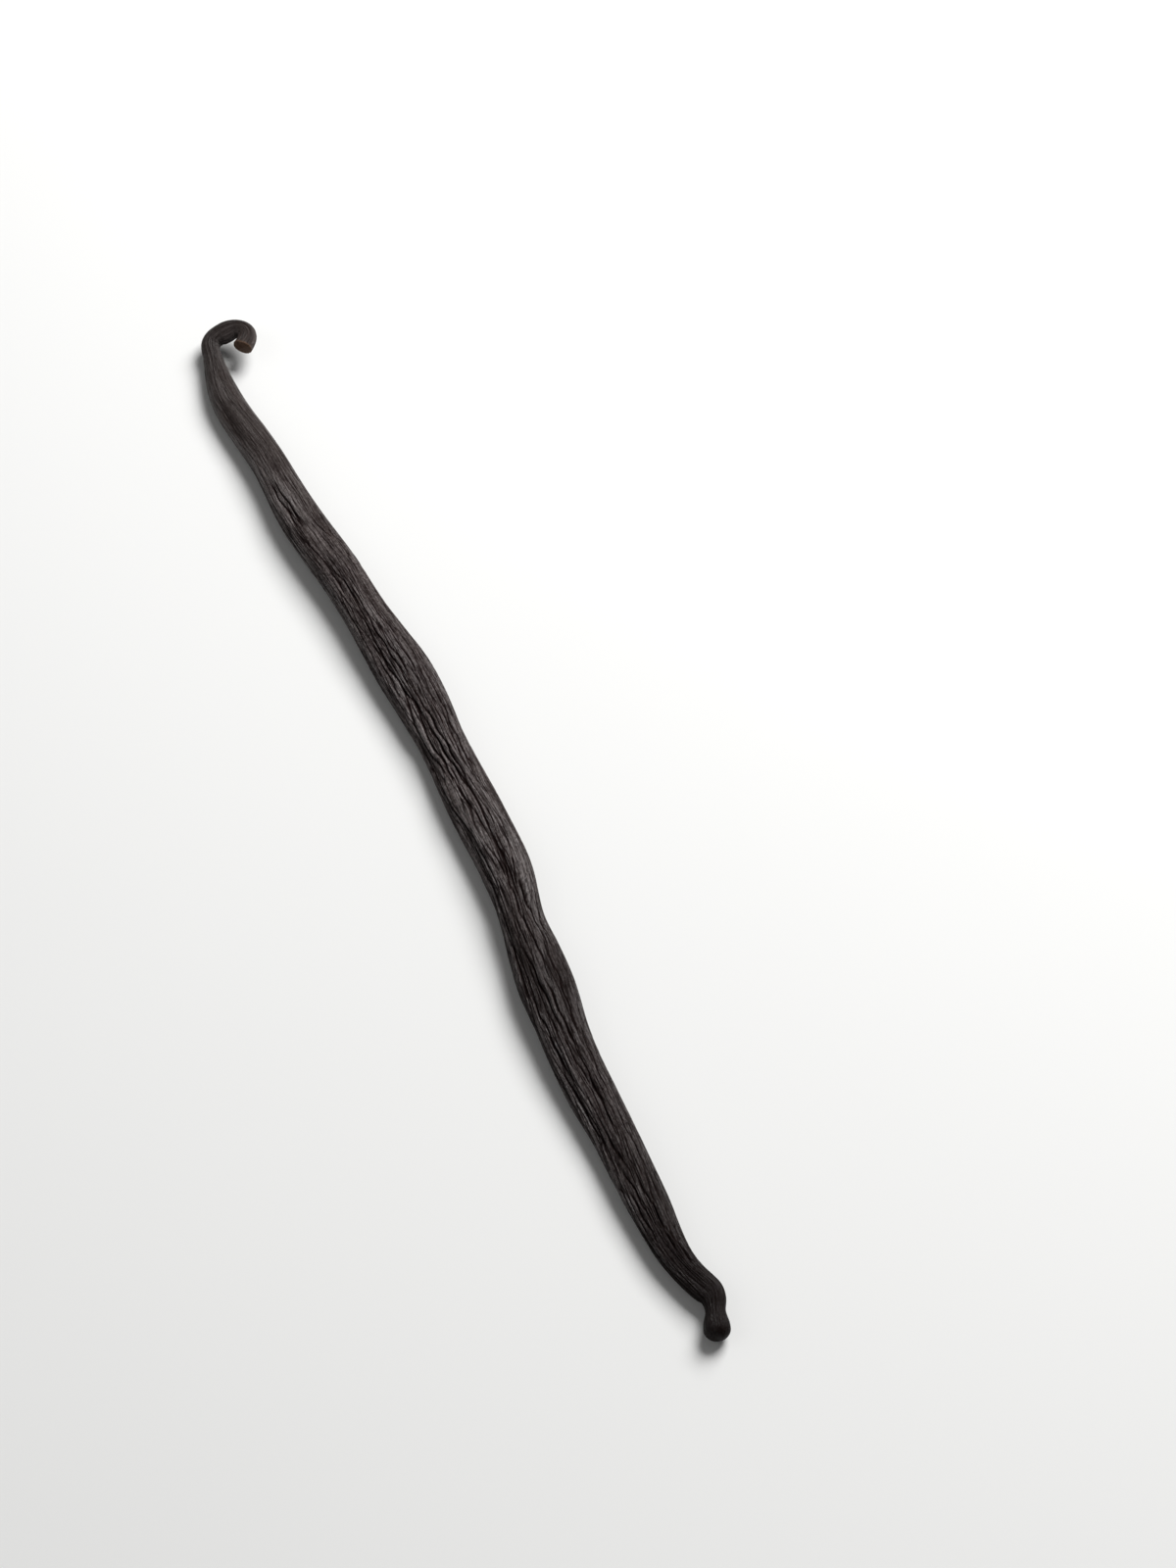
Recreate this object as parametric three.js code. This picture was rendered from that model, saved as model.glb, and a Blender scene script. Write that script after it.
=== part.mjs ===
// A cured vanilla pod, lying on a table. It is one long, soft, flattened pod: a thin hooked stem
// with a cut end, a narrow shoulder, a wavy body with lengthwise folds, and a short neck that ends
// in a round knob. Millimetres, +Z up. The pod runs along X, from the stem at -X to the knob at +X,
// and its flattened underside rests on Z = 0.

import * as THREE from "three";

// ---- Driving dimensions, in millimetres and degrees ----

// All distances are measured in plan, along the centre line, from the cut end of the stem.
const POD_LENGTH = 187.2;

// Where the centre line starts, and which way it sets off. It turns back on itself in the hook.
const STEM_END = { x: -82.843, y: 2.186 };
const STEM_HEADING = 132;

// The bends of the centre line: where each is centred, how far it spreads, and how far it turns.
const BENDS = [
  [4, 6.8, 138],
  [9.5, 4, 80],
  [20.4, 13.5, 17],
  [33.9, 8.7, -6],
  [46.5, 11.6, 6.5],
  [58, 7.7, -3.5],
  [67.7, 7.7, 1.5],
  [80.2, 15.4, -6.5],
  [113, 11.6, -9],
  [122.2, 5.8, 5],
  [128.4, 5.8, -1.5],
  [141, 13.5, 6.5],
  [156.4, 9.6, -2],
  [175.5, 15, 28],
  [181.1, 3.1, -47],
];

// Height of the centre line above the table: distance, height.
const LIFT = [
  [0, 3.7],
  [4, 3.3],
  [8.5, 2.4],
  [13, 1.8],
  [20, 1.7],
  [30, 1.85],
  [45, 2.1],
  [62, 2.3],
  [78, 2.05],
  [95, 2.0],
  [112, 2.3],
  [122, 2.35],
  [133, 2.05],
  [150, 1.9],
  [165, 1.75],
  [176, 1.75],
  [183, 1.8],
  [187.2, 1.6],
];

// Girth of the pod: distance, width, thickness.
const GIRTH = [
  [0, 3, 2.3],
  [2.4, 2.75, 2.1],
  [4.6, 2.9, 2.1],
  [6.9, 3.65, 2.2],
  [9.3, 3, 2.2],
  [11.4, 2.65, 2.25],
  [13.4, 3.05, 2.55],
  [16.5, 3.85, 3.0],
  [20.2, 4.65, 3.5],
  [27, 5.1, 3.9],
  [37, 5.7, 4.2],
  [44.5, 6.5, 4.5],
  [53, 6.8, 4.5],
  [64, 6.6, 4.35],
  [71, 7.35, 4.5],
  [77.5, 8.05, 4.7],
  [84, 7.6, 4.6],
  [90, 6.8, 4.5],
  [103, 7.1, 4.6],
  [113, 7.0, 4.6],
  [120.8, 6.3, 4.4],
  [127, 7.3, 4.5],
  [132, 7.8, 4.6],
  [139, 7.1, 4.5],
  [147, 6.7, 4.3],
  [157, 6.35, 4.1],
  [166, 5.55, 3.7],
  [172, 4.65, 3.3],
  [176.5, 3.95, 3.0],
  [180.2, 3.75, 2.85],
  [181.7, 3.15, 2.6],
  [183.3, 2.6, 2.4],
  [185.2, 3.4, 3.1],
  [187.2, 3.3, 3.0],
];

// Lengthwise folds, pressed into the skin: from, to, place round the pod at each end, and depth.
// Places are in degrees: 0 is the left edge of a pod seen from its stem, 90 the top, 180 the right
// edge and 270 the underside.
const FOLDS = [
  [20, 33, 118, 132, 0.18],
  [37, 51, 132, 105, 0.34],
  [46, 54, 74, 54, 0.24],
  [52, 71, 118, 108, 0.22],
  [67, 88, 106, 96, 0.28],
  [70, 89, 130, 111, 0.34],
  [85, 105, 68, 44, 0.32],
  [91, 104, 103, 80, 0.32],
  [86, 98, 155, 134, 0.28],
  [100, 122, 142, 150, 0.34],
  [112, 126, 97, 58, 0.5],
  [106, 118, 86, 90, 0.22],
  [123, 142, 66, 76, 0.32],
  [124, 143, 126, 107, 0.36],
  [120, 138, 152, 129, 0.32],
  [132, 157, 92, 98, 0.28],
  [136, 163, 131, 143, 0.34],
  [154, 174, 102, 77, 0.28],
  [150, 171, 123, 116, 0.24],
  [165, 182, 118, 104, 0.26],
  [28, 64, 178, 192, 0.32],
  [64, 102, 186, 172, 0.32],
  [103, 151, 177, 197, 0.36],
  [149, 178, 192, 178, 0.28],
  [26, 72, 22, 6, 0.28],
  [73, 119, 10, 24, 0.32],
  [121, 172, 20, 0, 0.32],
  [22, 58, 232, 250, 0.34],
  [54, 97, 292, 270, 0.36],
  [98, 141, 240, 262, 0.38],
  [137, 177, 292, 272, 0.34],
  [38, 92, 318, 334, 0.34],
  [97, 162, 338, 316, 0.36],
];
const FOLD_REACH = 0.74; // how far a fold spreads to each side, measured round the skin
const FOLD_FADE = 0.3; // share of a fold's length over which each end fades out

// The flattened section rolls gently from side to side along the pod.
const ROLL_SWING = 6;
const ROLL_WAVE = 74;

// The section is a little squarer than an ellipse, which has a power of 2.
const SECTION_POWER = 2.2;

// How far the rounding reaches back from the stem's cut end and from the end of the knob.
const CUT_ROUNDING = 0.35;
const KNOB_ROUNDING = 1.5;

// Rings of the mesh: how far each stretch reaches, and its number of rings.
const STRETCHES = [
  [CUT_ROUNDING, 3],
  [16, 27],
  [176, 78],
  [POD_LENGTH - KNOB_ROUNDING, 16],
  [POD_LENGTH, 6],
];
const SIDES = 40;
const WALK_STEP = 0.05; // step of the walk along the centre line
const SLOPE_REACH = 0.4; // how far ahead and behind the slope is measured

// ---- Smooth values along the pod ----

function smoothStep(share) {
  const inside = THREE.MathUtils.clamp(share, 0, 1);
  return inside * inside * (3 - 2 * inside);
}

// Slope of a table's column at one of its rows.
function slopeAtRow(rows, column, row) {
  const before = rows[Math.max(row - 1, 0)];
  const after = rows[Math.min(row + 1, rows.length - 1)];
  return (after[column] - before[column]) / (after[0] - before[0]);
}

// Value of a table's column at a distance, on a smooth curve through all its rows.
function valueAt(rows, column, distance) {
  let row = 0;
  while (row < rows.length - 2 && rows[row + 1][0] <= distance) row += 1;
  const span = rows[row + 1][0] - rows[row][0];
  const t = (distance - rows[row][0]) / span;
  const startSlope = slopeAtRow(rows, column, row) * span;
  const endSlope = slopeAtRow(rows, column, row + 1) * span;
  const rise = rows[row + 1][column] - rows[row][column];
  const square = t * t;
  const cube = square * t;
  return (
    rows[row][column] +
    rise * (3 * square - 2 * cube) +
    startSlope * (cube - 2 * square + t) +
    endSlope * (cube - square)
  );
}

function headingAt(distance) {
  let heading = STEM_HEADING;
  for (const [centre, reach, turn] of BENDS) {
    heading += turn * smoothStep((distance - centre) / reach + 0.5);
  }
  return THREE.MathUtils.degToRad(heading);
}

function rollAt(distance) {
  return THREE.MathUtils.degToRad(ROLL_SWING) * Math.sin((2 * Math.PI * distance) / ROLL_WAVE);
}

// Share of the full girth left where an end rounds off.
function endRounding(distance) {
  const rounded = (fromEnd, reach) => {
    const missing = THREE.MathUtils.clamp(1 - fromEnd / reach, 0, 1);
    return Math.sqrt(1 - missing * missing);
  };
  return rounded(distance, CUT_ROUNDING) * rounded(POD_LENGTH - distance, KNOB_ROUNDING);
}

// ---- The section ----

// Depth of the folds at a distance and an angle round the pod.
function foldDepth(distance, angle, radius) {
  let depth = 0;
  for (const [from, to, startPlace, endPlace, deepest] of FOLDS) {
    const share = (distance - from) / (to - from);
    const fade = smoothStep(share / FOLD_FADE) * smoothStep((1 - share) / FOLD_FADE);
    const place = THREE.MathUtils.degToRad(THREE.MathUtils.lerp(startPlace, endPlace, share));
    const aside = Math.atan2(Math.sin(angle - place), Math.cos(angle - place)) * radius;
    depth += deepest * fade * Math.exp(-((aside / FOLD_REACH) ** 2));
  }
  return depth;
}

// A point of the section: how far left of the centre line and how far above it.
function sectionPoint(distance, angle) {
  const rounding = endRounding(distance);
  const halfWidth = (valueAt(GIRTH, 1, distance) / 2) * rounding;
  const halfThickness = (valueAt(GIRTH, 2, distance) / 2) * rounding;
  const across = Math.abs(Math.cos(angle)) ** SECTION_POWER;
  const upright = Math.abs(Math.sin(angle)) ** SECTION_POWER;
  const bulge = (across + upright) ** (-1 / SECTION_POWER);
  const radius = (halfWidth + halfThickness) / 2;
  const shrink = radius > 0 ? 1 - foldDepth(distance, angle, radius) / radius : 1;
  const left = halfWidth * bulge * shrink * Math.cos(angle);
  const up = halfThickness * bulge * shrink * Math.sin(angle);
  const roll = rollAt(distance);
  return [
    left * Math.cos(roll) - up * Math.sin(roll),
    left * Math.sin(roll) + up * Math.cos(roll),
  ];
}

// ---- The skin ----

function ringDistances() {
  const distances = [0];
  let start = 0;
  for (const [end, rings] of STRETCHES) {
    for (let ring = 1; ring <= rings; ring += 1) {
      distances.push(THREE.MathUtils.lerp(start, end, ring / rings));
    }
    start = end;
  }
  return distances;
}

// Points of the centre line above each distance, found by walking along its headings.
function centreLine(distances) {
  const place = new THREE.Vector3(STEM_END.x, STEM_END.y, 0);
  let walked = 0;
  return distances.map((distance) => {
    while (walked < distance) {
      const step = Math.min(WALK_STEP, distance - walked);
      const heading = headingAt(walked + step / 2);
      place.x += step * Math.cos(heading);
      place.y += step * Math.sin(heading);
      walked += step;
    }
    place.z = valueAt(LIFT, 1, distance);
    return place.clone();
  });
}

// Directions to the left of the centre line and square to it upwards.
function sectionAxes(distance) {
  const heading = headingAt(distance);
  const rise = valueAt(LIFT, 1, distance + SLOPE_REACH) - valueAt(LIFT, 1, distance - SLOPE_REACH);
  const slope = rise / (2 * SLOPE_REACH);
  const along = new THREE.Vector3(Math.cos(heading), Math.sin(heading), slope).normalize();
  const left = new THREE.Vector3(-Math.sin(heading), Math.cos(heading), 0);
  const up = new THREE.Vector3().crossVectors(along, left);
  return { left, up };
}

// One ring of the skin. Nothing reaches below the table, so the underside is pressed flat there.
function ringPoints(centre, distance) {
  const { left, up } = sectionAxes(distance);
  const points = [];
  for (let side = 0; side < SIDES; side += 1) {
    const [aside, above] = sectionPoint(distance, (2 * Math.PI * side) / SIDES);
    const point = centre.clone().addScaledVector(left, aside).addScaledVector(up, above);
    point.z = Math.max(point.z, 0);
    points.push(point);
  }
  return points;
}

// Triangles between two neighbouring rings, given where each ring starts in the list of points.
function bandTriangles(first, second) {
  const triangles = [];
  for (let side = 0; side < SIDES; side += 1) {
    const next = (side + 1) % SIDES;
    triangles.push(first + side, first + next, second + side);
    triangles.push(first + next, second + next, second + side);
  }
  return triangles;
}

function podGeometry() {
  const distances = ringDistances();
  const centres = centreLine(distances);
  const last = distances.length - 1;
  const points = [centres[0]];
  const triangles = [];
  for (let ring = 1; ring < last; ring += 1) {
    const start = points.length;
    points.push(...ringPoints(centres[ring], distances[ring]));
    if (ring > 1) triangles.push(...bandTriangles(start - SIDES, start));
  }
  const tip = points.length;
  points.push(centres[last]);
  for (let side = 0; side < SIDES; side += 1) {
    const next = (side + 1) % SIDES;
    triangles.push(0, 1 + next, 1 + side);
    triangles.push(tip, tip - SIDES + side, tip - SIDES + next);
  }
  const geometry = new THREE.BufferGeometry().setFromPoints(points);
  geometry.setIndex(triangles);
  geometry.computeVertexNormals();
  return geometry;
}

// ---- The pod ----

const skin = new THREE.MeshStandardMaterial({ color: 0x2a2320, roughness: 0.5, metalness: 0 });
const pod = new THREE.Mesh(podGeometry(), skin);
pod.name = "pod";

const vanillaPod = new THREE.Group();
vanillaPod.add(pod);

export default vanillaPod;
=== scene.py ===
"""A cured vanilla pod lying on a pale floor, dressed over its solid in the frame.

One fine mesh stands for the solid: the same hooked, flattened, folded pod, with the wrinkles of its
skin added. Shapes are worked out in millimetres, and made in metres.
"""

import math

import bpy
import numpy as np
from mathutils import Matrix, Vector


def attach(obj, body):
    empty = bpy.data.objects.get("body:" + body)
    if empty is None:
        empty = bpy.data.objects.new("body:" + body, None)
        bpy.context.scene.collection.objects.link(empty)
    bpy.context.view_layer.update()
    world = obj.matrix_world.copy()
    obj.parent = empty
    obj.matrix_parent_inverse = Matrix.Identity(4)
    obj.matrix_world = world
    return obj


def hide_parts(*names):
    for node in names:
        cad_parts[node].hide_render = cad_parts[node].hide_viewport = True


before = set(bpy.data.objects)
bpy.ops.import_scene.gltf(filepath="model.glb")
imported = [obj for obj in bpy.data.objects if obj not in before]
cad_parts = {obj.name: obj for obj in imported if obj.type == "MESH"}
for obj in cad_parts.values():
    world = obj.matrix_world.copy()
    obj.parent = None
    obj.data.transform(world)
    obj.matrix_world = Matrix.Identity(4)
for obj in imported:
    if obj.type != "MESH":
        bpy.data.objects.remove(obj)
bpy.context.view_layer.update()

# ---- Driving dimensions, in millimetres and degrees: the same form as the solid's ----

MM = 0.001  # metres in a millimetre
TURN = 2 * math.pi

# Distances are measured in plan, along the centre line, from the cut end of the stem.
POD_LENGTH = 187.2
STEM_END = (-82.843, 2.186)
STEM_HEADING = 132.0

# The bends of the centre line: where each is centred, how far it spreads, and how far it turns.
BENDS = [
    (4, 6.8, 138), (9.5, 4, 80), (20.4, 13.5, 17), (33.9, 8.7, -6), (46.5, 11.6, 6.5),
    (58, 7.7, -3.5), (67.7, 7.7, 1.5), (80.2, 15.4, -6.5), (113, 11.6, -9), (122.2, 5.8, 5),
    (128.4, 5.8, -1.5), (141, 13.5, 6.5), (156.4, 9.6, -2), (175.5, 15, 28), (181.1, 3.1, -47),
]

# Height of the centre line above the table: distance, height.
LIFT = [
    (0, 3.7), (4, 3.3), (8.5, 2.4), (13, 1.8), (20, 1.7), (30, 1.85), (45, 2.1), (62, 2.3),
    (78, 2.05), (95, 2.0), (112, 2.3), (122, 2.35), (133, 2.05), (150, 1.9), (165, 1.75),
    (176, 1.75), (183, 1.8), (187.2, 1.6),
]

# Girth of the pod: distance, width, thickness.
GIRTH = [
    (0, 3, 2.3), (2.4, 2.75, 2.1), (4.6, 2.9, 2.1), (6.9, 3.65, 2.2), (9.3, 3, 2.2),
    (11.4, 2.65, 2.25), (13.4, 3.05, 2.55), (16.5, 3.85, 3.0), (20.2, 4.65, 3.5), (27, 5.1, 3.9),
    (37, 5.7, 4.2), (44.5, 6.5, 4.5), (53, 6.8, 4.5), (64, 6.6, 4.35), (71, 7.35, 4.5),
    (77.5, 8.05, 4.7), (84, 7.6, 4.6), (90, 6.8, 4.5), (103, 7.1, 4.6), (113, 7.0, 4.6),
    (120.8, 6.3, 4.4), (127, 7.3, 4.5), (132, 7.8, 4.6), (139, 7.1, 4.5), (147, 6.7, 4.3),
    (157, 6.35, 4.1), (166, 5.55, 3.7), (172, 4.65, 3.3), (176.5, 3.95, 3.0), (180.2, 3.75, 2.85),
    (181.7, 3.15, 2.6), (183.3, 2.6, 2.4), (185.2, 3.4, 3.1), (187.2, 3.3, 3.0),
]

# Lengthwise folds, pressed into the skin: from, to, place round the pod at each end, and depth.
# Places are in degrees: 0 is the left edge of a pod seen from its stem, 90 the top, 180 the right
# edge and 270 the underside.
FOLDS = [
    (20, 33, 118, 132, 0.18), (37, 51, 132, 105, 0.34), (46, 54, 74, 54, 0.24),
    (52, 71, 118, 108, 0.22), (67, 88, 106, 96, 0.28), (70, 89, 130, 111, 0.34),
    (85, 105, 68, 44, 0.32), (91, 104, 103, 80, 0.32), (86, 98, 155, 134, 0.28),
    (100, 122, 142, 150, 0.34), (112, 126, 97, 58, 0.5), (106, 118, 86, 90, 0.22),
    (123, 142, 66, 76, 0.32), (124, 143, 126, 107, 0.36), (120, 138, 152, 129, 0.32),
    (132, 157, 92, 98, 0.28), (136, 163, 131, 143, 0.34), (154, 174, 102, 77, 0.28),
    (150, 171, 123, 116, 0.24), (165, 182, 118, 104, 0.26), (28, 64, 178, 192, 0.32),
    (64, 102, 186, 172, 0.32), (103, 151, 177, 197, 0.36), (149, 178, 192, 178, 0.28),
    (26, 72, 22, 6, 0.28), (73, 119, 10, 24, 0.32), (121, 172, 20, 0, 0.32),
    (22, 58, 232, 250, 0.34), (54, 97, 292, 270, 0.36), (98, 141, 240, 262, 0.38),
    (137, 177, 292, 272, 0.34), (38, 92, 318, 334, 0.34), (97, 162, 338, 316, 0.36),
]
FOLD_REACH = 0.74  # how far a fold spreads to each side, measured round the skin
FOLD_FADE = 0.3  # share of a fold's length over which each end fades out

ROLL_SWING = 6.0
ROLL_WAVE = 74.0
SECTION_POWER = 2.2
CUT_ROUNDING = 0.35
KNOB_ROUNDING = 1.5

# ---- The fine skin ----

# Rings of the mesh: how far each stretch reaches, and its number of rings.
STRETCHES = [
    (CUT_ROUNDING, 4), (16.0, 56), (176.0, 244), (POD_LENGTH - KNOB_ROUNDING, 32), (POD_LENGTH, 10),
]
SIDES = 280
TOP_SHARE = 0.3  # how much closer together the points lie on top than at the sides
WALK_STEP = 0.01
SLOPE_REACH = 0.4

# Grooves of the skin, one row for each kind: places round the pod, spacing along it, shortest and
# longest, narrowest and widest (half of the groove), shallowest and deepest.
GROOVES = [
    (8, 22.0, 12.0, 36.0, 0.08, 0.14, 0.10, 0.22),
    (28, 11.0, 7.0, 24.0, 0.055, 0.08, 0.06, 0.15),
    (56, 6.0, 3.0, 12.0, 0.05, 0.065, 0.05, 0.12),
]
GROOVE_DRIFT = 0.035  # how far a groove slants across the pod, as a share of its length
GROOVE_WAVES = (0.14, 6.0, 18.0)  # sideways swing, shortest and longest wave
GROOVE_LIP = 0.22  # height of the two ridges beside a groove, as a share of its depth
GROOVE_LIP_REACH = 2.4  # their width, as a share of the groove's
GROOVE_LIMIT = 0.45  # no groove goes deeper than this
ALONG_SCATTER = (-0.5, 1.5)  # where a groove's middle may lie, in spacings from its row
ROUND_SCATTER = 0.45  # how far it may lie from its place round the pod, in places

# The strongest creases of the upper side: from, to, place round the pod at the start, the middle
# and the end, depth, and half of the width.
MARKS = [
    (33.5, 38.5, 132, 128, 124, 0.07, 0.12),
    (38.5, 50.5, 133, 126, 120, 0.24, 0.11), (39, 49.5, 117, 111, 107, 0.24, 0.11),
    (43, 50, 121, 117, 114, 0.14, 0.09), (48, 52.5, 77, 72, 68, 0.22, 0.13),
    (57, 65, 115, 108, 101, 0.19, 0.105), (57, 62.5, 125, 124, 123, 0.17, 0.105),
    (61, 70, 98.5, 98, 97, 0.17, 0.08), (64, 81, 102, 103, 101, 0.29, 0.1),
    (65.5, 72, 119, 115, 116, 0.17, 0.085), (72, 79.5, 93, 91, 88, 0.26, 0.11),
    (63, 74, 80, 74, 69, 0.17, 0.08), (71.5, 86.5, 126, 121, 105, 0.34, 0.135),
    (74, 83, 132, 132, 130, 0.14, 0.08), (80.5, 101, 100, 88, 80, 0.34, 0.13),
    (87, 102, 107, 97, 82, 0.36, 0.145), (89, 97.5, 144, 129, 117, 0.31, 0.13),
    (90.5, 99.5, 120, 112, 107, 0.24, 0.105), (97, 106, 112, 107, 108, 0.14, 0.08),
    (92, 98, 67, 65, 63, 0.24, 0.155), (81, 88, 58, 53, 50, 0.14, 0.09),
    (87, 98, 57, 51, 50, 0.24, 0.115), (108.5, 126, 93, 98, 90, 0.29, 0.115),
    (111.5, 117, 75, 76, 78, 0.17, 0.105), (115.5, 122.5, 78, 69, 60, 0.38, 0.2),
    (119.5, 127, 51, 50, 53, 0.19, 0.105), (125.5, 141, 118, 109, 98, 0.34, 0.145),
    (130.5, 143.5, 98, 90, 83, 0.38, 0.155), (123, 134.5, 85, 86.5, 85, 0.17, 0.08),
    (142, 159, 84, 86, 86, 0.24, 0.1), (127, 142, 70, 66, 69, 0.24, 0.11),
    (140.5, 152, 57, 60, 66, 0.22, 0.1), (151, 161, 66, 62, 60, 0.17, 0.085),
    (133, 146, 139, 134, 136, 0.26, 0.145), (136, 148, 124, 124, 123, 0.14, 0.08),
    (146, 160.5, 143, 138, 133, 0.26, 0.11), (154, 161, 115, 111, 108, 0.22, 0.11),
    (160.5, 169.5, 118, 110, 107, 0.29, 0.13), (161.5, 170.5, 109, 103, 96, 0.17, 0.085),
    (161.5, 173, 90, 79, 68, 0.29, 0.115), (164, 171, 77, 69, 63, 0.14, 0.085),
    (163, 173, 128, 124, 125, 0.22, 0.105), (169, 179, 62, 59, 57, 0.22, 0.13),
]
MARK_FADE = 0.35  # share of a crease's length over which each end fades out
MARK_SWING = 0.1  # sideways swing of a crease
MARK_WAVE = 4.7  # length of one swing

# How strongly the skin is wrinkled: distance, share.
WRINKLED = [
    (0, 0.3), (10, 0.32), (16, 0.25), (28, 0.3), (42, 0.55), (60, 0.85), (84, 1.0), (172, 1.0),
    (178, 0.6), (181, 0.35), (184, 0.16), (187, 0.12),
]
# Creases across the inner side of the hook: distance, depth.
CREASES = [(3.2, 0.06), (4.1, 0.09), (5.0, 0.07), (8.3, 0.10), (9.1, 0.16), (9.9, 0.14), (10.8, 0.08)]
CREASE_REACH = 0.24

# How much darker the skin is along the pod, most towards the knob: distance, share. Partly the skin's
# own darker tone, partly painted shade where the light falls off along the pod.
DARKENED = [
    (0, 0.52), (8, 0.6), (14, 0.5), (24, 0.26), (40, 0.06), (66, 0.0), (79, 0.18), (90, 0.0),
    (105, 0.12), (120, 0.3), (133, 0.55), (150, 0.35), (163, 0.55), (176, 0.86), (181, 0.96),
    (187.2, 0.98),
]

WANDER = [(4, 26.0, 0.17), (9, 11.0, 0.055)]  # wandering of the fibres: cells, their length, radians
LUMPS = (5, 9.0, 0.12)  # broad uneven swellings: cells round the pod, length of a cell, height
RIPPLES = (17, 9.0, 0.05)  # soft ridges between the grooves, stated in the same way
# The grooves measured here get a near-black colour that is partly the skin's dark colour, partly
# painted shade.
SHELTER_ROUND = 50  # passes of smoothing round the pod that a hollow is measured against
SHELTER_DEPTH = 0.09  # a hollow this deep is fully dark
# The broad hollows measured here get painted shade, and the swellings between them painted sheen.
HOLLOW_ROUND = 700  # the same for the broad hollows between the folds
HOLLOW_DEPTH = 0.14
SEED = 11

MAP_ROWS = 3  # rows that the skin is laid out in on its map
MAP_GAP = 0.006  # gap round each row, as a share of the map's width


def smooth_step(share):
    inside = np.clip(share, 0.0, 1.0)
    return inside * inside * (3 - 2 * inside)


def value_at(rows, column, distance):
    """Value of a table's column at some distances, on a smooth curve through all its rows."""
    table = np.asarray(rows, float)
    places, values = table[:, 0], table[:, column]
    before = np.maximum(np.arange(len(table)) - 1, 0)
    after = np.minimum(np.arange(len(table)) + 1, len(table) - 1)
    slopes = (values[after] - values[before]) / (places[after] - places[before])
    row = np.clip(np.searchsorted(places, distance, side="right") - 1, 0, len(table) - 2)
    span = places[row + 1] - places[row]
    t = (distance - places[row]) / span
    square, cube = t * t, t * t * t
    return (
        values[row]
        + (values[row + 1] - values[row]) * (3 * square - 2 * cube)
        + slopes[row] * span * (cube - 2 * square + t)
        + slopes[row + 1] * span * (cube - square)
    )


def heading_at(distance):
    heading = np.full_like(distance, STEM_HEADING)
    for centre, reach, turn in BENDS:
        heading = heading + turn * smooth_step((distance - centre) / reach + 0.5)
    return np.radians(heading)


def end_rounding(distance):
    """Share of the full girth left where an end rounds off."""
    share = np.ones_like(distance)
    for from_end, reach in ((distance, CUT_ROUNDING), (POD_LENGTH - distance, KNOB_ROUNDING)):
        missing = np.clip(1 - from_end / reach, 0.0, 1.0)
        share = share * np.sqrt(1 - missing**2)
    return share


def way_round(angle, place, radius):
    """How far an angle lies from a place, measured round the skin."""
    return np.arctan2(np.sin(angle - place), np.cos(angle - place)) * radius


def fold_depth(distance, angle, radius):
    depth = np.zeros(np.broadcast(distance, angle).shape)
    for start, end, start_place, end_place, deepest in FOLDS:
        share = (distance - start) / (end - start)
        fade = smooth_step(share / FOLD_FADE) * smooth_step((1 - share) / FOLD_FADE)
        place = np.radians(start_place + (end_place - start_place) * share)
        aside = way_round(angle, place, radius)
        depth += deepest * fade * np.exp(-((aside / FOLD_REACH) ** 2))
    return depth


def skin_noise(rng, distance, angle, cells, length):
    """Smooth noise from -1 to 1 over the skin: `cells` round the pod, each `length` long. Each
    column of cells starts at its own place, so that the cells don't line up in rings."""
    count = int(math.ceil(POD_LENGTH / length)) + 5
    lattice = rng.uniform(-1.0, 1.0, (cells, count))
    starts = rng.uniform(0.0, 1.0, cells)
    turns = np.mod(angle / TURN, 1.0) * cells
    column = np.floor(turns).astype(int) % cells
    across = smooth_step(turns - np.floor(turns))

    def along(which):
        place = distance / length + starts[which] + 1
        cell = np.clip(np.floor(place).astype(int), 1, count - 3)
        t = place - cell
        a, b, c, d = (lattice[which, cell + step] for step in (-1, 0, 1, 2))
        return b + 0.5 * t * (c - a + t * (2 * a - 5 * b + 4 * c - d + t * (3 * (b - c) + d - a)))

    return along(column) * (1 - across) + along((column + 1) % cells) * across


def furrow(aside, half):
    """Section across a groove: a furrow with a ridge at each side."""
    cut = np.exp(-((aside / half) ** 2))
    lips = np.exp(-((aside / (half * GROOVE_LIP_REACH)) ** 2))
    return cut - GROOVE_LIP * (lips - cut)


def groove_depth(rng, distance, place, radius):
    """Depth of all the grooves together. Each is one stroke along the pod, and fewer of them fit
    where the pod is thin."""
    depth = np.zeros(place.shape)
    widest = radius.max()
    swing, short_wave, long_wave = GROOVE_WAVES
    for columns, spacing, short, long, narrow, wide, shallow, deep in GROOVES:
        for row in range(int(POD_LENGTH / spacing) + 1):
            for column in range(columns):
                centre = (row + rng.uniform(*ALONG_SCATTER)) * spacing
                around = (column + rng.uniform(-ROUND_SCATTER, ROUND_SCATTER)) * TURN / columns
                length = rng.uniform(short, long)
                half = rng.uniform(narrow, wide)
                deepest = rng.uniform(shallow, deep)
                drift = rng.normal(0.0, GROOVE_DRIFT)
                wave = TURN / rng.uniform(short_wave, long_wave)
                phase, chance = rng.uniform(0.0, TURN), rng.uniform(0.0, 1.0)
                rows = np.flatnonzero(np.abs(distance[:, 0] - centre) < length / 2)
                if not len(rows) or chance > radius[rows, 0].mean() / widest:
                    continue
                away = distance[rows] - centre
                aside = way_round(place[rows], around, radius[rows])
                aside = aside - drift * away - swing * np.sin(away * wave + phase)
                fade = smooth_step(2 * (1 - np.abs(away) / (length / 2)))
                depth[rows] += deepest * fade * furrow(aside, half)
    return GROOVE_LIMIT * np.tanh(depth / GROOVE_LIMIT)


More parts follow.
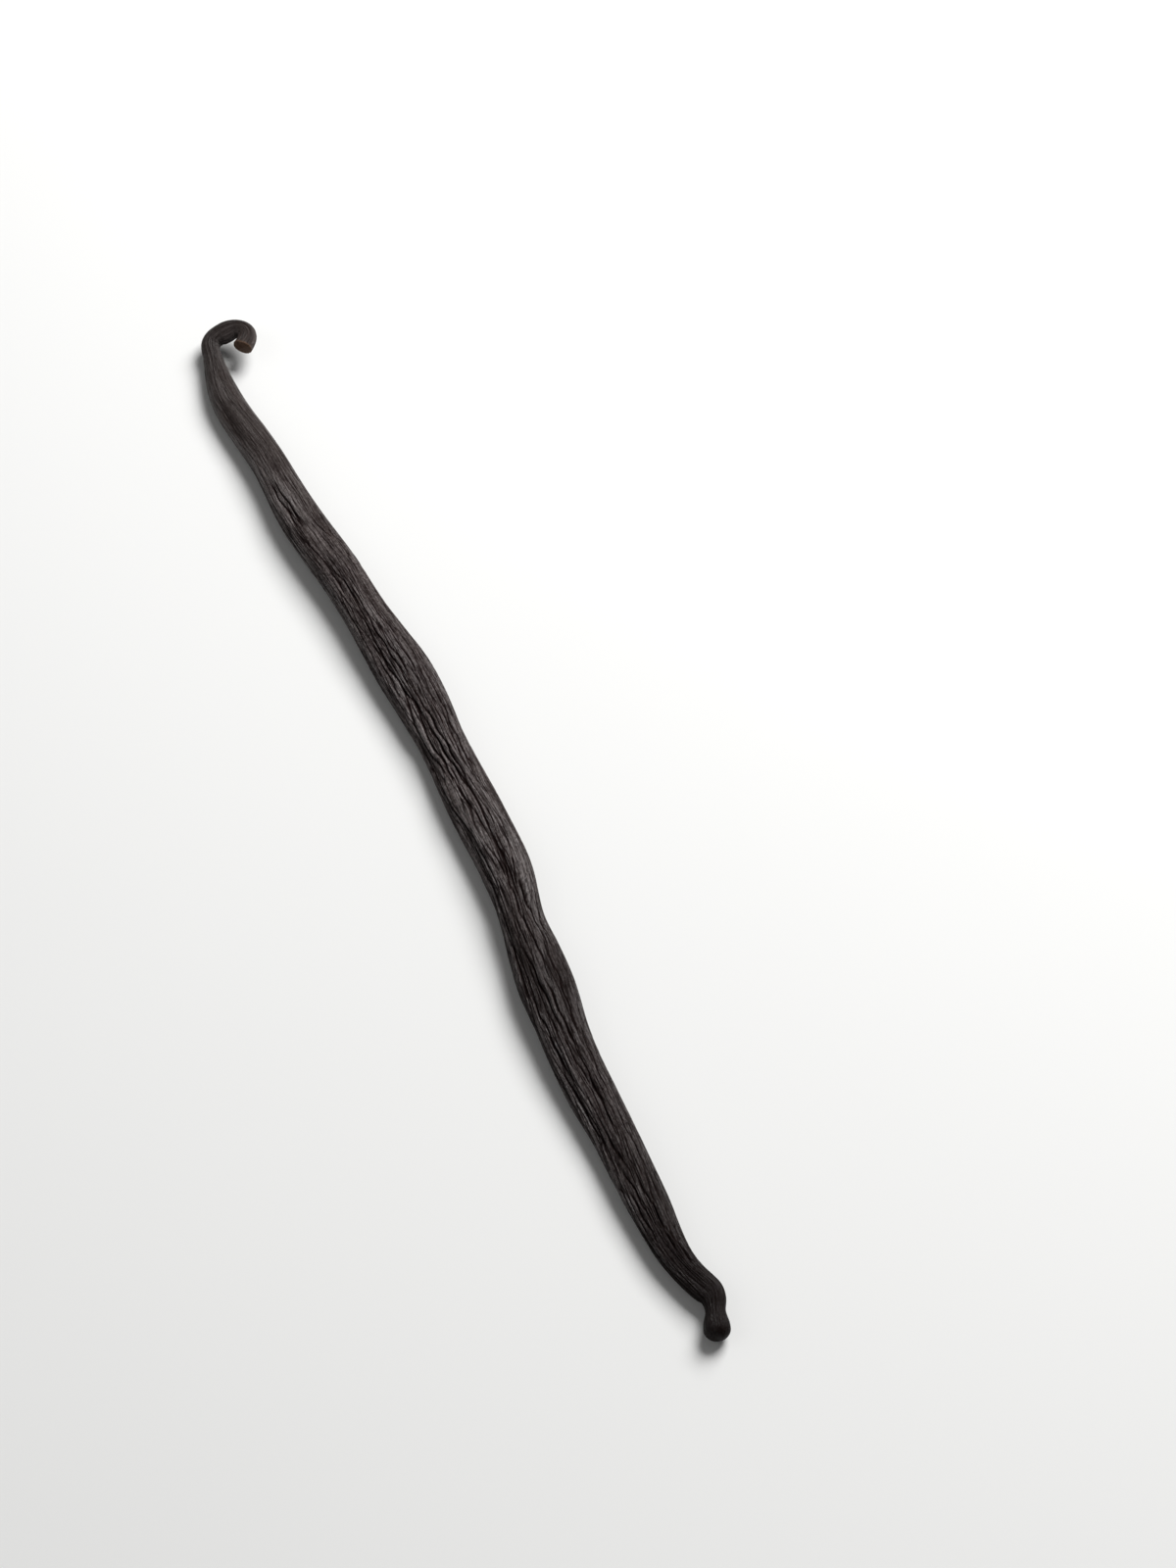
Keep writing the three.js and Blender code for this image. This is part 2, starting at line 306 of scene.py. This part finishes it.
def mark_depth(distance, angle, radius):
    """Depth of the strongest creases, each on a curve through three places."""
    depth = np.zeros(np.broadcast(distance, angle).shape)
    for number, (start, end, first, middle, final, deepest, half) in enumerate(MARKS):
        share = (distance - start) / (end - start)
        fade = smooth_step(share / MARK_FADE) * smooth_step((1 - share) / MARK_FADE)
        place = np.radians(
            first * (1 - share) * (1 - 2 * share)
            + middle * 4 * share * (1 - share)
            + final * share * (2 * share - 1)
        )
        aside = way_round(angle, place, radius)
        aside = aside - MARK_SWING * np.sin(TURN * distance / MARK_WAVE + number)
        depth += deepest * fade * furrow(aside, half)
    return depth


def smoothed_round(field, passes):
    for _ in range(passes):
        field = (np.roll(field, 1, 1) + 2 * field + np.roll(field, -1, 1)) / 4
    return field


def wrinkled_skin(distance, angle, radius):
    """Depth of the wrinkles and of the strongest creases, and the angle of each point along its
    wandering fibre."""
    rng = np.random.default_rng(SEED)
    place = angle + np.zeros_like(distance)
    for cells, length, swing in WANDER:
        place = place + swing * skin_noise(rng, distance, angle, cells, length)
    depth = groove_depth(rng, distance, place, radius)
    for cells, length, height in (LUMPS, RIPPLES):
        depth = depth - height * skin_noise(rng, distance, place, cells, length)
    depth = (depth - depth.mean()) * value_at(WRINKLED, 1, distance)
    depth = depth + mark_depth(distance, angle, radius)
    inside = smooth_step(np.cos(angle))
    for centre, deepest in CREASES:
        depth = depth + deepest * inside * np.exp(-(((distance - centre) / CREASE_REACH) ** 2))
    return depth, place


def ring_distances():
    parts = [np.zeros(1)]
    start = 0.0
    for end, rings in STRETCHES:
        parts.append(start + (end - start) * np.arange(1, rings + 1) / rings)
        start = end
    return np.concatenate(parts)


def centre_line(distances):
    """Points of the centre line above each distance, found by walking along its headings."""
    steps = np.arange(0.0, POD_LENGTH + WALK_STEP, WALK_STEP)
    heading = heading_at(steps + WALK_STEP / 2)
    x = STEM_END[0] + np.concatenate([[0.0], np.cumsum(WALK_STEP * np.cos(heading))[:-1]])
    y = STEM_END[1] + np.concatenate([[0.0], np.cumsum(WALK_STEP * np.sin(heading))[:-1]])
    return np.stack(
        [np.interp(distances, steps, x), np.interp(distances, steps, y), value_at(LIFT, 1, distances)],
        axis=1,
    )


def section_axes(distances):
    heading = heading_at(distances)
    rise = value_at(LIFT, 1, distances + SLOPE_REACH) - value_at(LIFT, 1, distances - SLOPE_REACH)
    slope = rise / (2 * SLOPE_REACH)
    along = np.stack([np.cos(heading), np.sin(heading), slope], axis=1)
    along /= np.linalg.norm(along, axis=1)[:, None]
    left = np.stack([-np.sin(heading), np.cos(heading), np.zeros_like(heading)], axis=1)
    return left, np.cross(along, left)


def skin_points(distances):
    """The rings of the skin, and for each point how deep it lies in a groove and in a broad hollow,
    and its place on a pod that is straightened out, with its fibres running straight too."""
    distance = distances[:, None]
    even = TURN * np.arange(SIDES) / SIDES
    angle = (even + TOP_SHARE * np.cos(even))[None, :]
    rounding = end_rounding(distance)
    half_width = value_at(GIRTH, 1, distance) / 2 * rounding
    half_thickness = value_at(GIRTH, 2, distance) / 2 * rounding
    bulge = (np.abs(np.cos(angle)) ** SECTION_POWER + np.abs(np.sin(angle)) ** SECTION_POWER) ** (
        -1 / SECTION_POWER
    )
    radius = (half_width + half_thickness) / 2
    wrinkle, place = wrinkled_skin(distance, angle, radius)
    depth = fold_depth(distance, angle, radius) + wrinkle * rounding
    even_out = smoothed_round(depth, SHELTER_ROUND)
    groove = np.clip((depth - even_out) / SHELTER_DEPTH, -1.0, 1.0)
    hollow = np.clip((even_out - smoothed_round(even_out, HOLLOW_ROUND)) / HOLLOW_DEPTH, -1.0, 1.0)
    shrink = 1 - depth / radius
    left_by = half_width * bulge * shrink * np.cos(angle)
    up_by = half_thickness * bulge * shrink * np.sin(angle)
    roll = math.radians(ROLL_SWING) * np.sin(TURN * distance / ROLL_WAVE)
    aside = left_by * np.cos(roll) - up_by * np.sin(roll)
    above = left_by * np.sin(roll) + up_by * np.cos(roll)
    left, up = section_axes(distances)
    points = centre_line(distances)[:, None, :] + aside[:, :, None] * left[:, None, :]
    points = points + above[:, :, None] * up[:, None, :]
    points[:, :, 2] = np.maximum(points[:, :, 2], 0.0)
    grain = np.stack(
        [distance + np.zeros_like(place), radius * np.cos(place), radius * np.sin(place)], axis=2
    )
    return points, groove, hollow, grain


def set_values(mesh, name, kind, values):
    key = "vector" if kind == "FLOAT_VECTOR" else "value"
    layer = mesh.attributes.new(name, kind, "POINT")
    layer.data.foreach_set(key, np.ascontiguousarray(values, np.float32).ravel())


def laid_out(points, ends):
    """Places on the map of the corners of the faces: the skin lies unrolled, in a few rows."""
    fans = [np.repeat(end[None, None], SIDES, 1) for end in ends]
    rings = np.concatenate([fans[0], points, fans[1]])
    steps = np.linalg.norm(np.diff(rings, axis=0), axis=2).mean(axis=1)
    walk = np.concatenate([[0.0], np.cumsum(steps)])
    firsts = np.searchsorted(walk, walk[-1] * np.arange(MAP_ROWS) / MAP_ROWS)
    lasts = np.append(firsts[1:], len(walk) - 1)
    scale = (1 - 2 * MAP_GAP) / (walk[lasts] - walk[firsts]).max()
    band = np.arange(len(walk) - 1)
    row = np.searchsorted(firsts, band, side="right") - 1
    none = np.zeros((len(band), SIDES))
    near, far = (
        none + (MAP_GAP + (walk[band + step] - walk[firsts[row]]) * scale)[:, None] for step in (0, 1)
    )
    side = (np.arange(SIDES) + none) / SIDES
    low, middle, high = (
        (row[:, None] + 1 - MAP_GAP - (1 - 2 * MAP_GAP) * (side + step / SIDES)) / MAP_ROWS
        for step in (0, 0.5, 1)
    )
    quads = np.array([(near, low), (near, high), (far, high), (far, low)])[:, :, 1:-1]
    first_fan = np.array([(near, middle), (far, high), (far, low)])[:, :, :1]
    last_fan = np.array([(far, middle), (near, low), (near, high)])[:, :, -1:]
    return np.concatenate([part.transpose(2, 3, 0, 1).ravel() for part in (quads, first_fan, last_fan)])


def make_skin(name):
    distances = ring_distances()
    inner = distances[1:-1]
    points, groove, hollow, grain = skin_points(inner)
    ends = centre_line(distances[[0, -1]])
    vertices = np.concatenate([ends[:1], points.reshape(-1, 3), ends[1:]]) * MM
    tip = len(vertices) - 1
    side = np.arange(SIDES)
    after = (side + 1) % SIDES
    faces = []
    for ring in range(len(inner) - 1):
        first = 1 + ring * SIDES
        second = first + SIDES
        faces += np.stack([first + side, first + after, second + after, second + side], 1).tolist()
    faces += np.stack([np.zeros_like(side), 1 + after, 1 + side], 1).tolist()
    last = tip - SIDES
    faces += np.stack([np.full_like(side, tip), last + side, last + after], 1).tolist()
    mesh = bpy.data.meshes.new(name)
    mesh.from_pydata(vertices.tolist(), [], faces)
    for polygon in mesh.polygons:
        polygon.use_smooth = True
    mesh.uv_layers.new(name="OFBake").data.foreach_set("uv", laid_out(points, ends))
    reach = np.concatenate([[0.0], np.repeat(inner, SIDES), [POD_LENGTH]])
    middles = [[0.0, 0.0, 0.0]], [[POD_LENGTH, 0.0, 0.0]]
    grain = np.concatenate([middles[0], grain.reshape(-1, 3), middles[1]])
    set_values(mesh, "grain", "FLOAT_VECTOR", grain)
    set_values(mesh, "groove", "FLOAT", np.concatenate([[0.0], groove.ravel(), [0.0]]))
    set_values(mesh, "hollow", "FLOAT", np.concatenate([[0.0], hollow.ravel(), [0.0]]))
    set_values(mesh, "reach", "FLOAT", reach)
    set_values(mesh, "darkened", "FLOAT", value_at(DARKENED, 1, reach))
    set_values(mesh, "wrinkled", "FLOAT", value_at(WRINKLED, 1, reach))
    mesh.update()
    piece = bpy.data.objects.new(name, mesh)
    bpy.context.collection.objects.link(piece)
    return piece


# ---- Materials ----

# Noises over the skin, in millimetres: stretch along the fibres, scale, detail, roughness, distortion.
NOISES = {
    "streaks": (0.05, 2.2, 4.0, 0.65, 0.0),
    "threads": (0.04, 5.0, 3.0, 0.62, 0.0),
    "seams": (0.06, 1.4, 2.0, 0.45, 0.2),
    "hairs": (0.05, 2.4, 1.0, 0.5, 0.2),
    "patches": (0.3, 0.7, 2.0, 0.55, 0.0),
    "fibres": (0.07, 4.0, 4.0, 0.65, 0.0),
    "facets": (0.07, 0.62, 2.0, 0.55, 0.0),
    "blotches": (0.22, 0.45, 3.0, 0.55, 0.0),
    "tints": (0.12, 0.8, 2.0, 0.55, 0.0),
    "specks": (0.5, 4.5, 3.0, 0.7, 0.0),
}
# Values that the mesh carries for each of its points.
CARRIED = ("groove", "hollow", "reach", "darkened", "wrinkled")

# The other fields are made of these. A range says where a field starts and ends to count, and what
# it counts for there.
LINED = (0.2, 0.85, 0.3, 1.0)  # how much the fine lines show, over how wrinkled the skin is
# Thin dark lines: the noise that they wind along, their inner and outer half width in its values,
# and how strong they are over the patches.
LINES = [
    ("seams", 0.012, 0.032, (0.42, 0.56, 0.25, 0.9)),
    ("hairs", 0.009, 0.030, (0.42, 0.62, 0.65, 0.35)),
]

# Colours of the skin. Some are painted sheen and painted shade, wholly or in part, as noted at each.
STREAK_COLOURS = (0.0303, 0.0202, 0.0183), (0.108, 0.0876, 0.0843)
STREAK_RANGE = (0.38, 0.62, 0.0, 1.0)
RUSTY = (0.056, 0.031, 0.023)
OLIVE = (0.044, 0.041, 0.030)
# Partly worn ridges, partly painted sheen on the ridges beside the grooves.
RIDGE_WEAR_AND_SHEEN = (0.114, 0.0955, 0.0935)
STEM_GREY = (0.056, 0.049, 0.045)
# Painted sheen: a lighter colour on the broad swellings between the folds.
PAINTED_SWELLING_SHEEN = (0.149, 0.130, 0.128)
# Painted shade: a darker colour in the broad hollows of the folds.
PAINTED_HOLLOW_SHADE = (0.015, 0.0080, 0.0066)
THREAD_GREY = (0.187, 0.158, 0.153)
# Partly the skin's own tone, partly painted sheen on random broad patches.
FACET_GREY_AND_SHEEN = (0.148, 0.127, 0.124)
# Used for dark threads of the skin and for dark random patches, which are partly painted shade.
DARK_BROWN = (0.0075, 0.0030, 0.0023)
SPECK_BROWN = (0.0145, 0.0070, 0.0057)
LINE_BROWN = (0.005, 0.0014, 0.0010)
# Partly the skin's dark colour in its grooves, partly painted shade.
GROOVE_BLACK_AND_SHADE = (0.0045, 0.0009, 0.0006)
# Partly the skin's own darker tone, partly painted shade where the light falls off along the pod.
KNOB_BLACK_AND_SHADE = (0.0042, 0.0016, 0.0012)
STEM_BROWN = (0.056, 0.030, 0.021)
CUT_BROWN = (0.12, 0.066, 0.038)

# Coats of colour over the streaks, in order: the colour, then each field that it follows and the
# range in which it does, or None where the field counts as it is. Two fields are multiplied.
COATS = [
    (RUSTY, [("blotches", (0.55, 0.75, 0.0, 0.5))]),
    (OLIVE, [("tints", (0.6, 0.8, 0.0, 0.4))]),
    # Lighter ridges beside the grooves: partly worn skin, partly painted sheen.
    (RIDGE_WEAR_AND_SHEEN, [("groove", (-0.1, -0.6, 0.0, 0.6))]),
    (STEM_GREY, [("reach", (70.0, 35.0, 0.0, 0.5))]),
    # Painted sheen: lighter colour on the broad swellings between the folds.
    (PAINTED_SWELLING_SHEEN, [("hollow", (-0.1, -0.9, 0.0, 0.35))]),
    # Painted shade: darker colour in the broad hollows of the folds.
    (PAINTED_HOLLOW_SHADE, [("hollow", (0.1, 0.9, 0.0, 0.5))]),
    (THREAD_GREY, [("threads", (0.54, 0.65, 0.0, 0.22))]),
    (DARK_BROWN, [("threads", (0.46, 0.38, 0.0, 0.35))]),
    # Random broad light and dark patches: partly the skin's own tone, partly painted sheen and painted
    # shade.
    (FACET_GREY_AND_SHEEN, [("facets", (0.53, 0.62, 0.0, 0.3))]),
    (DARK_BROWN, [("facets", (0.49, 0.39, 0.0, 0.35))]),
    (SPECK_BROWN, [("specks", (0.49, 0.38, 0.0, 0.75)), ("lined", None)]),
    (THREAD_GREY, [("specks", (0.53, 0.64, 0.0, 0.4)), ("lined", None)]),
    (LINE_BROWN, [("lines", None)]),
    # Near black in the grooves: partly the skin's dark colour there, partly painted shade.
    (GROOVE_BLACK_AND_SHADE, [("groove", (0.05, 0.65, 0.0, 0.96))]),
    # Darker along the pod, as the darkened table gives: partly the skin's own tone, partly painted
    # shade.
    (KNOB_BLACK_AND_SHADE, [("darkened", None)]),
    (STEM_BROWN, [("reach", (0.6, 5.0, 0.4, 0.0)), ("streaks", (0.38, 0.6, 0.0, 1.0))]),
    (CUT_BROWN, [("reach", (0.3, 0.6, 1.0, 0.0)), ("fibres", (0.3, 0.7, 0.3, 1.0))]),
]

# Finish of the skin. The roughness is a sum, and the gloss of its oily film a product.
ROUGHNESS = [("streaks", (0.25, 0.75, 0.48, 0.66)), ("groove", (0.0, 0.7, 0.0, 0.25))]
GLOSS = [
    ("groove", (-0.3, 0.35, 0.75, 0.0)),
    ("darkened", (0.1, 0.9, 1.0, 0.45)),
    ("facets", (0.40, 0.60, 0.35, 1.25)),
    ("threads", (0.40, 0.60, 0.5, 1.15)),
    ("lines", (0.0, 0.8, 1.0, 0.1)),
]
FILM_ROUGHNESS = 0.38
SKIN_IOR = 1.45
SKIN_SPECULAR = 0.08

# The finest relief: the fibres, and what is added to their height or taken from it, with its share.
RELIEF_PARTS = [("ADD", "specks", 0.35), ("ADD", "threads", 0.6), ("SUBTRACT", "lines", 0.4)]
RELIEF = 0.28  # its height in millimetres
RELIEF_STRENGTH = (0.3, 1.0, 0.55, 1.0)  # over how much the fine lines show

FLOOR_TONES = (0.80, 0.80, 0.79), (0.82, 0.82, 0.81)
FLOOR_MOTTLE = (1.0, 6.0, 2.0, 0.55, 0.0)  # stated as the skin's noises are
FLOOR_ROUGHNESS = 0.85
FLOOR_SPECULAR = 0.2


class Nodes:
    """Short ways to add and join the nodes of one material."""

    def __init__(self, name):
        self.material = bpy.data.materials.new(name)
        self.material.use_nodes = True
        self.tree = self.material.node_tree
        self.shader = self.tree.nodes["Principled BSDF"]

    def add(self, kind, **settings):
        node = self.tree.nodes.new(kind)
        for key, value in settings.items():
            setattr(node, key, value)
        return node

    def join(self, source, target):
        self.tree.links.new(source, target)

    def attribute(self, name, output="Fac"):
        return self.add("ShaderNodeAttribute", attribute_name=name).outputs[output]

    def noise(self, vector, stretch, *numbers):
        mapping = self.add("ShaderNodeMapping")
        mapping.inputs["Scale"].default_value = (stretch, 1.0, 1.0)
        self.join(vector, mapping.inputs["Vector"])
        node = self.add("ShaderNodeTexNoise")
        for key, number in zip(("Scale", "Detail", "Roughness", "Distortion"), numbers):
            node.inputs[key].default_value = number
        self.join(mapping.outputs["Vector"], node.inputs["Vector"])
        return node.outputs["Fac"]

    def ranged(self, value, *numbers):
        """The value from low to high, mapped to another low and high."""
        node = self.add("ShaderNodeMapRange", clamp=True)
        for key, number in zip(("From Min", "From Max", "To Min", "To Max"), numbers):
            node.inputs[key].default_value = number
        self.join(value, node.inputs["Value"])
        return node.outputs["Result"]

    def combined(self, operation, fields, rows):
        """One value from several fields, each taken within its range if it has one."""
        result = None
        for name, numbers in rows:
            value = fields[name] if numbers is None else self.ranged(fields[name], *numbers)
            result = value if result is None else self.math(operation, result, value)
        return result

    def mix(self, share, first, second):
        node = self.add("ShaderNodeMix", data_type="RGBA")
        self.join(share, node.inputs[0])
        for value, place in ((first, 6), (second, 7)):
            if isinstance(value, tuple):
                node.inputs[place].default_value = (*value, 1.0)
            else:
                self.join(value, node.inputs[place])
        return node.outputs[2]

    def line(self, value, inner, outer, strength):
        """Thin winding lines, where a noise is near its middle value."""
        away = self.math("ABSOLUTE", self.math("SUBTRACT", value, 0.5), 0.0)
        return self.math("MULTIPLY", self.ranged(away, inner, outer, 1.0, 0.0), strength)

    def math(self, operation, first, second):
        node = self.add("ShaderNodeMath", operation=operation)
        for place, value in enumerate((first, second)):
            if isinstance(value, (int, float)):
                node.inputs[place].default_value = value
            else:
                self.join(value, node.inputs[place])
        return node.outputs[0]


def cured_skin():
    nodes = Nodes("cured_skin")
    grain = nodes.attribute("grain", "Vector")
    fields = {name: nodes.attribute(name) for name in CARRIED}
    fields |= {name: nodes.noise(grain, *numbers) for name, numbers in NOISES.items()}
    fields["lined"] = nodes.ranged(fields["wrinkled"], *LINED)
    lines = [
        nodes.line(fields[name], inner, outer, nodes.ranged(fields["patches"], *strength))
        for name, inner, outer, strength in LINES
    ]
    fields["lines"] = nodes.math("MULTIPLY", nodes.math("MAXIMUM", *lines), fields["lined"])

    colour = nodes.mix(nodes.ranged(fields["streaks"], *STREAK_RANGE), *STREAK_COLOURS)
    for coat, rows in COATS:
        colour = nodes.mix(nodes.combined("MULTIPLY", fields, rows), colour, coat)
    nodes.join(colour, nodes.shader.inputs["Base Color"])
    nodes.join(nodes.combined("ADD", fields, ROUGHNESS), nodes.shader.inputs["Roughness"])
    nodes.join(nodes.combined("MULTIPLY", fields, GLOSS), nodes.shader.inputs["Coat Weight"])
    nodes.shader.inputs["Coat Roughness"].default_value = FILM_ROUGHNESS
    nodes.shader.inputs["IOR"].default_value = SKIN_IOR
    nodes.shader.inputs["Specular IOR Level"].default_value = SKIN_SPECULAR

    height = fields["fibres"]
    for operation, name, share in RELIEF_PARTS:
        height = nodes.math(operation, height, nodes.math("MULTIPLY", fields[name], share))
    bump = nodes.add("ShaderNodeBump")
    nodes.join(nodes.ranged(fields["lined"], *RELIEF_STRENGTH), bump.inputs["Strength"])
    bump.inputs["Distance"].default_value = RELIEF * MM
    nodes.join(height, bump.inputs["Height"])
    nodes.join(bump.outputs["Normal"], nodes.shader.inputs["Normal"])
    nodes.join(bump.outputs["Normal"], nodes.shader.inputs["Coat Normal"])
    return nodes.material


def floor_finish():
    nodes = Nodes("pale_floor")
    place = nodes.add("ShaderNodeTexCoord").outputs["Object"]
    colour = nodes.mix(nodes.noise(place, *FLOOR_MOTTLE), *FLOOR_TONES)
    nodes.join(colour, nodes.shader.inputs["Base Color"])
    nodes.shader.inputs["Roughness"].default_value = FLOOR_ROUGHNESS
    nodes.shader.inputs["Specular IOR Level"].default_value = FLOOR_SPECULAR
    return nodes.material


# ---- The view ----

# The camera looks down at the pod, with the stem at the upper left and the knob at the lower right.
VIEW_ELEVATION = 57.0
VIEW_AZIMUTH = 65.27  # 0 looks along +Y
VIEW_DISTANCE = 480.0
VIEW_AIM = (6.58, 17.65, 0.0)  # the place on the table at the middle of the picture
LENS = 80.0
FILM_HEIGHT = 36.0

# Soft square lights: name, place to the right, away and up as the camera sees it, side, and watts.
LIGHTS = [("key", 300, 400, 520, 440, 7.8), ("fill", -620, -160, 520, 600, 0.6)]
ROOM_WHITE = (1.0, 1.0, 1.0, 1.0)
ROOM_STRENGTH = 0.13
FLOOR_HALF = 3000.0
FLOOR_DROP = 0.02  # the floor lies this little below the pod, so that their faces don't meet


def view_axes():
    elevation, azimuth = math.radians(VIEW_ELEVATION), math.radians(VIEW_AZIMUTH)
    right = Vector((math.cos(azimuth), math.sin(azimuth), 0.0))
    away = Vector((-math.sin(azimuth), math.cos(azimuth), 0.0))
    back = Vector((0, 0, math.sin(elevation))) - away * math.cos(elevation)
    return right, away, back


def make_camera():
    _, _, back = view_axes()
    data = bpy.data.cameras.new("camera")
    data.sensor_fit = "VERTICAL"
    data.sensor_height = FILM_HEIGHT
    data.lens = LENS
    camera = bpy.data.objects.new("camera", data)
    camera.location = (Vector(VIEW_AIM) + back * VIEW_DISTANCE) * MM
    camera.rotation_euler = back.to_track_quat("Z", "Y").to_euler()
    bpy.context.collection.objects.link(camera)
    bpy.context.scene.camera = camera


def make_light(name, right_by, away_by, up_by, size, power):
    """A soft square light, turned to the pod."""
    right, away, _ = view_axes()
    data = bpy.data.lights.new(name, "AREA")
    data.shape = "SQUARE"
    data.size = size * MM
    data.energy = power
    light = bpy.data.objects.new(name, data)
    place = right * right_by + away * away_by + Vector((0, 0, up_by))
    light.location = place * MM
    light.rotation_euler = place.to_track_quat("Z", "Y").to_euler()
    bpy.context.collection.objects.link(light)


def make_floor():
    mesh = bpy.data.meshes.new("floor")
    corners = [(-1, -1), (1, -1), (1, 1), (-1, 1)]
    half = FLOOR_HALF * MM
    mesh.from_pydata([(x * half, y * half, -FLOOR_DROP * MM) for x, y in corners], [], [(0, 1, 2, 3)])
    floor = bpy.data.objects.new("floor", mesh)
    floor.data.materials.append(floor_finish())
    bpy.context.collection.objects.link(floor)


def light_room():
    world = bpy.data.worlds.new("room")
    world.use_nodes = True
    background = world.node_tree.nodes["Background"]
    background.inputs["Color"].default_value = ROOM_WHITE
    background.inputs["Strength"].default_value = ROOM_STRENGTH
    bpy.context.scene.world = world
    for row in LIGHTS:
        make_light(*row)
    bpy.context.scene.view_settings.view_transform = "Standard"


# ---- The scene ----

make_camera()
light_room()
make_floor()

skin = make_skin("pod_skin")
skin.data.materials.append(cured_skin())
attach(skin, "root")
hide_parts("pod")
